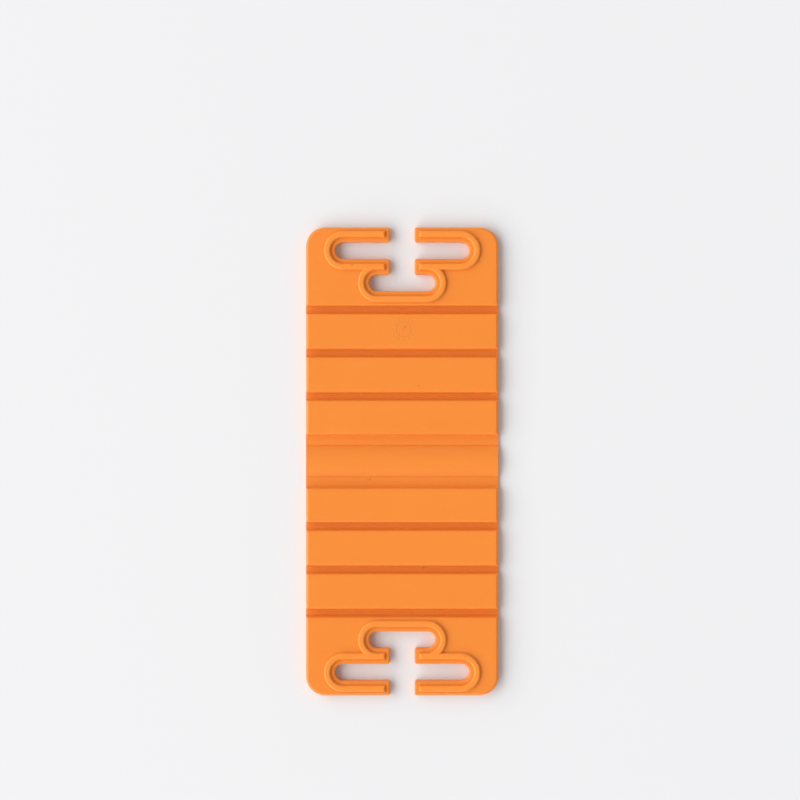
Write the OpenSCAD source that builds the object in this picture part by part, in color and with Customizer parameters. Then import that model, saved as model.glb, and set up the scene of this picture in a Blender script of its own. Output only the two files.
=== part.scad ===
// Corner protector for cargo straps: one moulded plastic strip, shown flat with its strap side up.
// X runs across the strip, Y along it, and Z up from its plain back. The origin is the middle of the back.

/* [Panels] */
// Thickness of the flat panels
panel_t = 4; // [3:0.1:6]
// Radius of the strip's four corners, seen from above
corner_r = 7.5; // [4:0.1:10]
// Lean of the outer walls, in degrees
wall_lean = 4; // [0:0.5:6]
// Rounding of the outer walls' top edge
edge_r = 1.1; // [0.3:0.1:1.5]
// Rounding of all edges on the back
back_edge_r = 0.4; // [0.2:0.05:0.5]
// Flat margin at each side, outside the wide slot's bead
side_margin = 7.2; // [3:0.1:15]
// Flat margin at each end, outside the wide slot's bead
end_margin = 1.6; // [1.6:0.1:6]

/* [Fold grooves] */
// Pairs of narrow grooves, with one of each pair on either side of the middle fold
groove_pairs = 3; // [1:1:5]
// Distance from one groove to the next
groove_pitch = 17.1; // [15:0.1:24]
// Width of a groove at its mouth
groove_w = 3.5; // [3:0.1:5]
// Plastic left under a groove, which bends as a hinge
hinge_t = 1.1; // [0.7:0.1:1.5]
// Lean of the groove walls, in degrees
groove_lean = 13; // [0:0.5:14]
// Rounding of the panels' edges along the grooves
groove_lip_r = 0.75; // [0.2:0.05:0.9]
// Rounding where a groove's floor meets its walls
groove_root_r = 0.4; // [0.2:0.05:0.6]
// Flat margin between the first groove and the narrow slot's bead
groove_margin = 1.1; // [0.8:0.1:8]

/* [Middle fold] */
// Width of the crowned middle panel
crown_w = 12.2; // [10:0.1:16]
// Width of the two grooves that flank the crowned middle panel
middle_groove_w = 4.7; // [3.8:0.1:6]
// Height of the middle panel's crown above the groove floors
crown_h = 2.2; // [1:0.1:2.5]
// Height of the middle panel's edges above the groove floors
crown_edge_h = 0.3; // [0.2:0.1:0.8]

/* [Strap slots] */
// Length of the slot for the wide strap
wide_slot_l = 53; // [40:0.1:70]
// Length of the slot for the narrow strap
narrow_slot_l = 26.2; // [22:0.1:36]
// Opening of both slots, from side to side
slot_h = 6.6; // [5:0.1:9]
// Width of the mouth that the straps slip in through
mouth_w = 9.8; // [6:0.1:12]
// Rounding of the slots' edges on the strap side
slot_lip_r = 0.7; // [0.3:0.05:1.2]
// Rounding of the finger tips beside the mouth, seen from above
finger_r = 1; // [0.4:0.1:1.5]

/* [Slot beads] */
// Flat land between a slot's edge and its bead
land_w = 1.8; // [1.5:0.1:3]
// Width of the bead
bead_w = 2.6; // [2.2:0.1:4]
// Height of the bead above the panel
bead_h = 1.2; // [0.8:0.1:2]
// Rounding of the bead's edges
bead_r = 0.85; // [0.3:0.05:0.9]

/* [Hidden] */
$fn = 96;

// Slots and beads: each slot's half height grows by the land and then by the bead
slot_half = slot_h / 2;
bead_inner_half = slot_half + land_w;
bead_outer_half = bead_inner_half + bead_w;
slot_step = slot_h + 2 * land_w + bead_w;
wide_run = wide_slot_l - slot_h;
narrow_run = narrow_slot_l - slot_h;
bead_top = panel_t + bead_h;

// Strip: the folds in the middle and a slotted panel at each end
groove_depth = panel_t - hinge_t;
groove_half = groove_w / 2;
groove_floor_half = groove_half - groove_depth * tan(groove_lean);
last_groove_y = (groove_pairs + 0.5) * groove_pitch;
narrow_y = last_groove_y + groove_half + groove_margin + bead_outer_half;
wide_y = narrow_y + slot_step;
end_y = wide_y + bead_outer_half + end_margin;
strip_w = wide_run + 2 * (bead_outer_half + side_margin);
wall_draft = panel_t * tan(wall_lean);

// Middle fold: the crowned panel and a groove on each side of it
crown_half = crown_w / 2;
middle_half = crown_half + middle_groove_w;
middle_floor_half = middle_half - groove_depth * tan(groove_lean);
crown_rise = crown_h - crown_edge_h;
crown_r = (crown_half * crown_half + crown_rise * crown_rise) / (2 * crown_rise);

// How far cuts run past the faces that they open
cut_over = 2;
// How near to tangent a rounding's arc starts, so that it crosses its faces cleanly
arc_reach = 0.99;

// What a rounding takes off a corner at the origin. The solid lies towards +X and -Y,
// under a level face, and its wall leans outwards on the way down.
module corner_waste(r, lean = 0) {
    reach = r * arc_reach;
    centre_x = reach * (1 - sin(lean)) / cos(lean);
    far = reach + cut_over;
    foot_x = centre_x - far * cos(lean);
    difference() {
        polygon([
            [centre_x, -reach],
            [centre_x, cut_over],
            [foot_x, cut_over],
            [foot_x, far * sin(lean) - reach]
        ]);
        translate([centre_x, -reach]) circle(r);
    }
}

// Both sides of a section that is drawn on the +X side
module both_sides() {
    children();
    mirror([1, 0]) children();
}

// Half section of the strip's rim, from a centre line out to its leaning wall
module rim_half_section(half_w) {
    difference() {
        polygon([[0, 0], [half_w, 0], [half_w - wall_draft, panel_t], [0, panel_t]]);
        translate([half_w - wall_draft, panel_t]) mirror([1, 0]) corner_waste(edge_r, wall_lean);
        translate([half_w, 0]) rotate(180) corner_waste(back_edge_r, -wall_lean);
    }
}

// The flat strip before folds and slots: a long middle, two ends and four turned corners
module strip_blank() {
    corner_x = strip_w / 2 - corner_r;
    corner_y = end_y - corner_r;
    rotate([90, 0, 0]) linear_extrude(2 * corner_y, center = true)
        both_sides() rim_half_section(strip_w / 2);
    for (turn = [0, 180]) rotate([0, 0, turn]) {
        translate([0, corner_y, 0]) rotate([90, 0, 90])
            linear_extrude(2 * corner_x, center = true) rim_half_section(corner_r);
        for (side = [0, 1]) mirror([side, 0, 0])
            translate([corner_x, corner_y, 0]) rotate_extrude(angle = 90) rim_half_section(corner_r);
    }
}

// Half section of a fold groove as a cut, from its floor at Y = 0 up past the panels
module groove_half_section(floor_half, mouth_half) {
    difference() {
        polygon([
            [0, 0],
            [floor_half, 0],
            [mouth_half, groove_depth],
            [mouth_half, groove_depth + cut_over],
            [0, groove_depth + cut_over]
        ]);
        translate([floor_half, 0]) rotate(180) corner_waste(groove_root_r, groove_lean);
    }
    translate([mouth_half, groove_depth]) corner_waste(groove_lip_r, groove_lean);
}

// Runs a fold section right across the strip, on the hinge level
module across_strip(y) {
    translate([0, y, hinge_t]) rotate([90, 0, 90])
        linear_extrude(strip_w + 2 * cut_over, center = true) children();
}

// The narrow grooves on both sides of the middle fold
module groove_cuts() {
    for (side = [-1, 1], i = [1 : groove_pairs])
        across_strip(side * (i + 0.5) * groove_pitch)
            both_sides() groove_half_section(groove_floor_half, groove_half);
}

// Section of the crowned middle panel above the groove floors
module crown_section() {
    top_half = crown_half - crown_h * tan(groove_lean);
    intersection() {
        translate([0, crown_h - crown_r]) circle(crown_r);
        polygon([[-crown_half, 0], [crown_half, 0], [top_half, crown_h], [-top_half, crown_h]]);
    }
}

// The middle fold: one broad cut that leaves a low crowned panel between two grooves
module middle_fold_cut() {
    across_strip(0) difference() {
        both_sides() groove_half_section(middle_floor_half, middle_half);
        crown_section();
    }
}

// Sweeps a half section round a slot: straight along X, with a half turn at each end
module round_slot(run) {
    rotate([90, 0, 90]) linear_extrude(run, center = true) both_sides() children();
    for (side = [-1, 1]) translate([side * run / 2, 0, 0])
        rotate([0, 0, -90 * side]) rotate_extrude(angle = 180) children();
}

// Runs a half section from the narrow slot's middle out through the end of the strip
module along_mouth() {
    translate([0, narrow_y, 0]) mirror([0, 1, 0]) rotate([90, 0, 0])
        linear_extrude(end_y - narrow_y + cut_over) both_sides() children();
}

// Half section of a through opening with rounded edges on both faces
module opening_half_section(half) {
    translate([0, -cut_over]) square([half, bead_top + 2 * cut_over]);
    translate([half, panel_t]) corner_waste(slot_lip_r);
    translate([half, 0]) mirror([0, 1]) corner_waste(back_edge_r);
}

// Half section of the raised bead's outline, with its outer edge rounded
module bead_half_section() {
    difference() {
        square([bead_outer_half, bead_top]);
        translate([bead_outer_half, bead_top]) mirror([1, 0]) corner_waste(bead_r);
    }
}

// Half section of what is cleared inside a bead, down to the panel, with the bead's edge rounded
module bead_clearing_half_section(half) {
    translate([0, panel_t]) square([half, bead_h + cut_over]);
    translate([half, bead_top]) corner_waste(bead_r);
}

// The bead of one end: it follows both slots, and stops short of the finger tips
module slot_beads() {
    difference() {
        union() {
            translate([0, wide_y, 0]) round_slot(wide_run) bead_half_section();
            translate([0, narrow_y, 0]) round_slot(narrow_run) bead_half_section();
        }
        translate([0, wide_y, 0]) round_slot(wide_run) bead_clearing_half_section(bead_inner_half);
        translate([0, narrow_y, 0]) round_slot(narrow_run) bead_clearing_half_section(bead_inner_half);
        along_mouth() bead_clearing_half_section(mouth_w / 2 + land_w);
    }
}

// Rounds the finger tips beside the mouth: one corner at each edge that faces +Y or -Y
module finger_tip_cuts() {
    for (side = [0, 1]) mirror([side, 0, 0]) {
        for (y = [end_y, wide_y - slot_half])
            translate([mouth_w / 2, y, -cut_over]) linear_extrude(bead_top + 2 * cut_over)
                corner_waste(finger_r);
        for (y = [wide_y + slot_half, narrow_y + slot_half])
            translate([mouth_w / 2, y, -cut_over]) linear_extrude(bead_top + 2 * cut_over)
                mirror([0, 1]) corner_waste(finger_r);
    }
}

// Both strap slots of one end, and the mouth that joins them to the end of the strip
module slot_cuts() {
    translate([0, wide_y, 0]) round_slot(wide_run) opening_half_section(slot_half);
    translate([0, narrow_y, 0]) round_slot(narrow_run) opening_half_section(slot_half);
    along_mouth() opening_half_section(mouth_w / 2);
    finger_tip_cuts();
}

module corner_protector() {
    color("darkorange") difference() {
        union() {
            difference() {
                strip_blank();
                groove_cuts();
                middle_fold_cut();
            }
            for (turn = [0, 180]) rotate([0, 0, turn]) slot_beads();
        }
        for (turn = [0, 180]) rotate([0, 0, turn]) slot_cuts();
    }
}

corner_protector();
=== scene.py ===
# %% [markdown]
# A corner protector for cargo straps, seen from straight above. The real thing is one orange plastic
# moulding. It could be modelled again in Blender, but its shape is already exact in the imported CAD
# model, so that model is loaded as a fixed frame and never changed. This lesson adds what CAD leaves
# out: the finish of the plastic, the faint mark of a mould dial, and a light that lets the eye read
# grooves and beads.

# %% Load the imported model as the fixed frame
import math

import bmesh
import bpy
from mathutils import Matrix, Vector


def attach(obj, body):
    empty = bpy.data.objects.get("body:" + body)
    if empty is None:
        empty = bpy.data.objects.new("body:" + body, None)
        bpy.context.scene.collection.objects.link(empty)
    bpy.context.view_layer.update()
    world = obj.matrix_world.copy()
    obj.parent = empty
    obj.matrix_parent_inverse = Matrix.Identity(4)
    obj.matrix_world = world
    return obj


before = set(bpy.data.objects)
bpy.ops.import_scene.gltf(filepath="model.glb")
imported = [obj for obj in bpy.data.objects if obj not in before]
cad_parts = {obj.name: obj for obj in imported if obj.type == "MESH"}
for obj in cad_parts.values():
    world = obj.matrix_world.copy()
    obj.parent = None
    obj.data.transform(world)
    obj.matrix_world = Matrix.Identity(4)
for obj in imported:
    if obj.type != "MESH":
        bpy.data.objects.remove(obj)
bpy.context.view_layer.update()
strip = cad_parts["corner_protector"]
MM = 0.001

# %% [markdown]
# The plastic's finish is a material, and a material is a small graph of nodes. It could be wired by hand
# in the shader editor, but a script can be read and run again, and three helpers keep it short. One adds
# a node and sets its values by name, with _ in place of a space. One joins an output to an input, and
# one starts a material. The next cells fill the graph in. All its patterns are placed by Object
# coordinates, which are metres on the strip, so nothing has to be unwrapped and each pattern has its
# true size.

# %% Start the plastic's material


def add_node(tree, kind, **values):
    node = tree.nodes.new(kind)
    for name, value in values.items():
        if hasattr(node, name):
            setattr(node, name, value)
        else:
            node.inputs[name.replace("_", " ")].default_value = value
    return node


def join(tree, output, target):
    tree.links.new(output, target)


def new_material(name):
    material = bpy.data.materials.new(name)
    material.use_nodes = True
    return material, material.node_tree.nodes["Principled BSDF"]


plastic, shader = new_material("orange_plastic")
graph = plastic.node_tree
place = add_node(graph, "ShaderNodeTexCoord").outputs["Object"]
print("material:", plastic.name, "with", len(graph.nodes), "nodes so far")

# %% [markdown]
# The plastic is a polyolefin, coloured all through, and its colour is never quite even: the pigment
# drifts where the melt flowed. That could be painted as an image, but a slow noise that mixes two
# oranges needs no image and stays soft from any distance.

# %% Two oranges that drift into each other

ORANGE = (0.83, 0.249, 0.036, 1.0)
ORANGE_DEEP = (0.79, 0.233, 0.032, 1.0)
DRIFT_SIZE = 30 * MM


def noise(size, detail, roughness):
    texture = add_node(graph, "ShaderNodeTexNoise", Scale=1 / size, Detail=detail, Roughness=roughness)
    join(graph, place, texture.inputs["Vector"])
    return texture.outputs["Fac"]


def mix_in(colour, amount):
    mix = add_node(graph, "ShaderNodeMix", data_type="RGBA")
    mix.inputs["B"].default_value = colour
    join(graph, amount, mix.inputs["Factor"])
    return mix


drifted = mix_in(ORANGE, noise(DRIFT_SIZE, detail=3.0, roughness=0.5))
drifted.inputs["A"].default_value = ORANGE_DEEP
print("oranges drift over about", round(DRIFT_SIZE / MM), "mm")

# %% [markdown]
# The beads around the slots look a little paler than the panels, because their rounded tops catch more
# light and light also leaves them through their sides. That light is painted in here as a paler orange:
# a painted highlight, not a paler plastic. Their faces could be given a second material, but it would end
# in a hard line. They alone rise above the panels, so here the height in Object coordinates says where the
# painted highlight is mixed in, and it starts softly.

# %% Painted highlight on the beads

PANEL_TOP = 4.0 * MM
HIGHLIGHT_FROM = PANEL_TOP + 0.2 * MM
HIGHLIGHT_FULL = PANEL_TOP + 1.0 * MM
# painted highlight: a paler orange that stands for the light the bead tops catch
ORANGE_PAINTED_HIGHLIGHT = (0.845, 0.262, 0.037, 1.0)


def remap(tree, value, low, high, at_low=0.0, at_high=1.0):
    ramp = add_node(tree, "ShaderNodeMapRange", From_Min=low, From_Max=high, To_Min=at_low, To_Max=at_high)
    join(tree, value, ramp.inputs["Value"])
    return ramp.outputs["Result"]


level = add_node(graph, "ShaderNodeSeparateXYZ")
join(graph, place, level.inputs["Vector"])
# painted highlight: mixed in by height, so only the raised bead tops turn paler
bead_highlight_mix = mix_in(ORANGE_PAINTED_HIGHLIGHT, remap(graph, level.outputs["Z"], HIGHLIGHT_FROM, HIGHLIGHT_FULL))
join(graph, drifted.outputs["Result"], bead_highlight_mix.inputs["A"])
print("paler from", round(HIGHLIGHT_FROM / MM, 1), "to", round(HIGHLIGHT_FULL / MM, 1), "mm above the back")

# %% [markdown]
# A moulding always has a few dark specks in it. They could be small meshes, but as part of the colour
# they can't stick out. They are the middles of a few cells of a solid Voronoi pattern, chosen by each
# cell's random colour. So they sit in the plastic at any depth, and show wherever the surface cuts
# through one.

# %% A few specks

SPECK = (0.45, 0.12, 0.02, 1.0)
SPECK_CELL = 6 * MM
SPECK_CORE = 0.14 * MM
SPECK_R = 0.38 * MM
SPECK_CHANCE = (0.72, 0.76)

cells = add_node(graph, "ShaderNodeTexVoronoi", Scale=1 / SPECK_CELL)
join(graph, place, cells.inputs["Vector"])
near = remap(graph, cells.outputs["Distance"], SPECK_CORE / SPECK_CELL, SPECK_R / SPECK_CELL,
             at_low=1.0, at_high=0.0)
chosen = remap(graph, cells.outputs["Color"], *SPECK_CHANCE)
amount = add_node(graph, "ShaderNodeMath", operation="MULTIPLY")
join(graph, near, amount.inputs[0])
join(graph, chosen, amount.inputs[1])
specked = mix_in(SPECK, amount.outputs["Value"])
join(graph, bead_highlight_mix.outputs["Result"], specked.inputs["A"])
join(graph, specked.outputs["Result"], shader.inputs["Base Color"])
print("specks at most", round(2 * SPECK_R / MM, 2), "mm across,", len(graph.nodes), "nodes so far")

# %% [markdown]
# The surface copies the mould. Flat panels sink a little as they cool, so they are never dead flat. On
# top of that lies an orange-peel ripple about a millimetre wide, and the fine grain of the mould's
# steel. All three could be displaced for real, but they are only hundredths of a millimetre deep or
# less, and shading alone shows them. Each layer is a bump node that passes its result to the next, from
# the largest to the smallest.

# %% Relief of the plastic

SINK_SIZE, SINK_DEPTH = 24 * MM, 0.05 * MM
PEEL_SIZE, PEEL_DEPTH = 1.1 * MM, 0.004 * MM
GRAIN_SIZE, GRAIN_DEPTH = 0.2 * MM, 0.006 * MM


def bump(height, depth, under=None):
    layer = add_node(graph, "ShaderNodeBump", Strength=1.0, Distance=depth)
    join(graph, height, layer.inputs["Height"])
    if under is not None:
        join(graph, under, layer.inputs["Normal"])
    return layer.outputs["Normal"]


sink = bump(noise(SINK_SIZE, detail=2.0, roughness=0.4), SINK_DEPTH)
peel = bump(noise(PEEL_SIZE, detail=2.0, roughness=0.5), PEEL_DEPTH, under=sink)
grain = bump(noise(GRAIN_SIZE, detail=2.0, roughness=0.5), GRAIN_DEPTH, under=peel)
join(graph, grain, shader.inputs["Normal"])
print("relief depths in mm:", [round(d / MM, 3) for d in (SINK_DEPTH, PEEL_DEPTH, GRAIN_DEPTH)])

# %% [markdown]
# The finish is satin. One roughness all over would look like paint, and the real one is patchy at the
# scale of the ripple, so the roughness follows a noise too. Light also goes a little way into the
# plastic and comes out again, which the subsurface values give. Red goes furthest, so shaded grooves
# glow red instead of going grey. The specular level is below its usual 0.5, because the grain breaks up
# the gloss that a smooth plastic would show at low angles.

# %% Satin finish, put on the strip

GLOSS_SIZE = 1.4 * MM
GLOSS_NOISE = (0.3, 0.7)
GLOSS_ROUGHNESS = (0.30, 0.42)
FINISH = {
    "IOR": 1.49,
    "Specular IOR Level": 0.3,
    "Subsurface Weight": 0.2,
    "Subsurface Radius": (1.0, 0.35, 0.12),
    "Subsurface Scale": 1.2 * MM,
}

patches = noise(GLOSS_SIZE, detail=4.0, roughness=0.6)
join(graph, remap(graph, patches, *GLOSS_NOISE, *GLOSS_ROUGHNESS), shader.inputs["Roughness"])
for socket, value in FINISH.items():
    shader.inputs[socket].default_value = value

strip.data.materials.clear()
strip.data.materials.append(plastic)
print("finish:", plastic.name, "with", len(graph.nodes), "nodes, on", strip.name)

# %% [markdown]
# Many moulds hold a small round insert with marks around it and a pointer that can be turned, which
# shows when a piece was moulded. It leaves a faint raised mark on one panel. The mark could be a bump
# pattern as well, but as a mesh its edges catch the light from every side, and its round forms come from
# simple operators. First comes its ring. A torus would be too plump for it, so a low profile with
# sloping shoulders is drawn, and spun once round the axis. Like the rest of the mark it is sunk a little
# into the panel, so no gap shows under it.

# %% Mould dial: the ring

DIAL_AT = Vector((0.3 * MM, 52.0 * MM, PANEL_TOP))
DIAL_UP = 0.04 * MM
DIAL_SUNK = 0.08 * MM
RING_R = 2.9 * MM
RING_HALF_W = 0.2 * MM
RING_STEPS = 64
SHOULDER = 0.4

shape = bmesh.new()
profile = [
    (-RING_HALF_W, -DIAL_SUNK),
    (RING_HALF_W, -DIAL_SUNK),
    (RING_HALF_W, SHOULDER * DIAL_UP),
    (SHOULDER * RING_HALF_W, DIAL_UP),
    (-SHOULDER * RING_HALF_W, DIAL_UP),
    (-RING_HALF_W, SHOULDER * DIAL_UP),
]
corners = [shape.verts.new(DIAL_AT + Vector((RING_R + x, 0, z))) for x, z in profile]
edges = [shape.edges.new((a, b)) for a, b in zip(corners, corners[1:] + corners[:1])]
bmesh.ops.spin(shape, geom=corners + edges, cent=DIAL_AT, axis=(0, 0, 1), angle=2 * math.pi,
               steps=RING_STEPS, use_merge=True)
print("ring:", len(shape.faces), "faces")

# %% [markdown]
# Around the ring stand twelve dots, one for each month. Each could be a short cylinder, but the real
# ones come from shallow drill marks in the mould, which leave round caps. So each dot is a sphere,
# squashed until only its low cap shows above the panel.

# %% Mould dial: the dots

DOTS = 12
DOT_RING_R = 4.1 * MM
DOT_R = 0.36 * MM
DOT_UP = 0.06 * MM

for step in range(DOTS):
    turn = 2 * math.pi * step / DOTS
    spot = DIAL_AT + Vector((DOT_RING_R * math.cos(turn), DOT_RING_R * math.sin(turn), 0))
    squash = Matrix.LocRotScale(spot, None, (1, 1, DOT_UP / DOT_R))
    bmesh.ops.create_uvsphere(shape, u_segments=20, v_segments=12, radius=DOT_R, matrix=squash)
print("dots:", DOTS, "at", round(DOT_RING_R / MM, 1), "mm from the middle")

# %% [markdown]
# The pointer is an arrow across the middle. It could be drawn as one outline and raised, but a bar with
# rounded edges and a three-sided tip are two ready shapes, and their joint is hidden where they overlap.

# %% Mould dial: the pointer

POINTER_TURN = math.radians(60)
BAR_L, BAR_W, BAR_EDGE = 2.4 * MM, 0.5 * MM, 0.05 * MM
TIP_OUT, TIP_R, TIP_TOP_R = 1.4 * MM, 0.8 * MM, 0.7 * MM
POINTER_H = DIAL_UP + DIAL_SUNK
POINTER_MID = (DIAL_UP - DIAL_SUNK) / 2

pointer = Matrix.LocRotScale(DIAL_AT, Matrix.Rotation(POINTER_TURN, 3, "Z"), None)
bar_size = Matrix.Diagonal((BAR_L, BAR_W, POINTER_H, 1))
bar_place = pointer @ Matrix.Translation((0, 0, POINTER_MID))
bar = bmesh.ops.create_cube(shape, size=1, matrix=bar_place @ bar_size)
bar_edges = {edge for vert in bar["verts"] for edge in vert.link_edges}
bmesh.ops.bevel(shape, geom=list(bar_edges), offset=BAR_EDGE, segments=3, profile=0.5, affect="EDGES",
                material=-1)
tip_place = pointer @ Matrix.Translation((TIP_OUT, 0, POINTER_MID))
bmesh.ops.create_cone(shape, cap_ends=True, segments=3, radius1=TIP_R, radius2=TIP_TOP_R, depth=POINTER_H,
                      matrix=tip_place)
print("pointer turned by", round(math.degrees(POINTER_TURN)), "degrees")

# %% [markdown]
# Ring, dots and pointer are one mark on the real strip, so they become one object. Its vertices already
# lie where the mark is, so the object stays at the origin and shares the strip's Object coordinates and
# its material.

# %% Mould dial: one object

bmesh.ops.recalc_face_normals(shape, faces=shape.faces)
for face in shape.faces:
    face.smooth = True
dial_mesh = bpy.data.meshes.new("mould_dial")
shape.to_mesh(dial_mesh)
shape.free()
dial_mesh.materials.append(plastic)
dial = bpy.data.objects.new("mould_dial", dial_mesh)
bpy.context.scene.collection.objects.link(dial)
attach(dial, "root")
print("mould dial:", len(dial_mesh.polygons), "faces")

# %% [markdown]
# The floor stands for the pale table that a product is photographed on, and only has to catch a soft
# shadow. It could be a bent backdrop, but from straight above a flat sheet is enough. It is matte all
# through, with no gloss of its own, so that it doesn't mirror the lamp into a view from the other side.

# %% Floor

FLOOR_REACH = 1.5
FLOOR_FINISH = {"Base Color": (0.74, 0.74, 0.75, 1.0), "Roughness": 0.9, "Specular IOR Level": 0.0}

sheet = bmesh.new()
bmesh.ops.create_grid(sheet, x_segments=1, y_segments=1, size=FLOOR_REACH)
floor_mesh = bpy.data.meshes.new("floor")
sheet.to_mesh(floor_mesh)
sheet.free()
matte, matte_shader = new_material("pale_floor")
for socket, value in FLOOR_FINISH.items():
    matte_shader.inputs[socket].default_value = value
floor_mesh.materials.append(matte)
floor = bpy.data.objects.new("floor", floor_mesh)
bpy.context.scene.collection.objects.link(floor)
print("floor:", [round(side, 2) for side in floor.dimensions[:2]], "m")

# %% [markdown]
# Small glossy goods are often photographed in a light tent of white cloth. It could be built from
# glowing sheets, but a world that glows by direction does the same without a seam. The tent's walls glow
# more than its ceiling, where the camera looks in, so the narrow grooves, which see little but the
# ceiling, stay dark. A glow of 1 is that of white paper at a light level of 1.

# %% Light tent

WALL_GLOW = 0.98
CEILING_GLOW = 0.28

world = bpy.data.worlds.new("light_tent")
world.use_nodes = True
tent = world.node_tree
cloth = tent.nodes["Background"]
cloth.inputs["Color"].default_value = (1.0, 1.0, 1.0, 1.0)
direction = add_node(tent, "ShaderNodeSeparateXYZ")
join(tent, add_node(tent, "ShaderNodeTexCoord").outputs["Generated"], direction.inputs["Vector"])
glow = remap(tent, direction.outputs["Z"], low=0.0, high=1.0, at_low=WALL_GLOW, at_high=CEILING_GLOW)
join(tent, glow, cloth.inputs["Strength"])
bpy.context.scene.world = world
print("tent glow, walls to ceiling:", WALL_GLOW, "to", CEILING_GLOW)

# %% [markdown]
# On the left of the tent stands one large softbox, which brightens every wall that faces left. A sun
# would do that too, but with hard shadows, and the softbox is so tall that the beads get soft, narrow
# ones. It is turned a little towards the strip's near end, so that the crowned middle panel shades off
# towards its far edge and shows its curve. It stands far off and is as much larger, so that it lights
# the floor evenly. A lamp's power is its glow times its area times pi. Tent and softbox together give a
# level of about 1 on a panel, so a colour renders about as written.

# %% Softbox

KEY_GLOW = 2.8
KEY_RISE = math.radians(38)
KEY_TURN = math.radians(10)
KEY_FAR = 8.8
KEY_SIZE = (24.0, 8.8)

lamp = bpy.data.lights.new("key", "AREA")
lamp.shape = "RECTANGLE"
lamp.size, lamp.size_y = KEY_SIZE
lamp.energy = KEY_GLOW * KEY_SIZE[0] * KEY_SIZE[1] * math.pi
key = bpy.data.objects.new("key", lamp)
aside = -KEY_FAR * math.cos(KEY_RISE)
key.location = (aside * math.cos(KEY_TURN), aside * math.sin(KEY_TURN), KEY_FAR * math.sin(KEY_RISE))
key.rotation_euler = (-key.location).to_track_quat("-Z", "Y").to_euler()
bpy.context.scene.collection.objects.link(key)
print("softbox power:", round(lamp.energy, 2), "W")

# %% [markdown]
# The photograph looks straight down on the strip. The camera could be moved until the picture fits, but
# the photograph's scale is known, so its height follows from the lens: the frame is 800 pixels wide, and
# each pixel covers 0.394 mm of the strip. A long lens sees both ends of the strip almost straight down,
# as there.

# %% Camera

FRAME_PX = 800
PX_MM = 0.3944
STRIP_PX = (402.2, 461.4)
LENS_MM = 100.0
SENSOR_MM = 36.0

frame_w = FRAME_PX * PX_MM * MM
camera_h = frame_w * LENS_MM / SENSOR_MM
aim_x = (FRAME_PX / 2 - STRIP_PX[0]) * PX_MM * MM
aim_y = (STRIP_PX[1] - FRAME_PX / 2) * PX_MM * MM
lens = bpy.data.cameras.new("camera")
lens.lens = LENS_MM
lens.sensor_width = SENSOR_MM
camera = bpy.data.objects.new("camera", lens)
camera.location = (aim_x, aim_y, PANEL_TOP + camera_h)
bpy.context.scene.collection.objects.link(camera)
bpy.context.scene.camera = camera
bpy.context.scene.view_settings.view_transform = "Standard"
print("camera height above the panels:", round(camera_h, 3), "m")
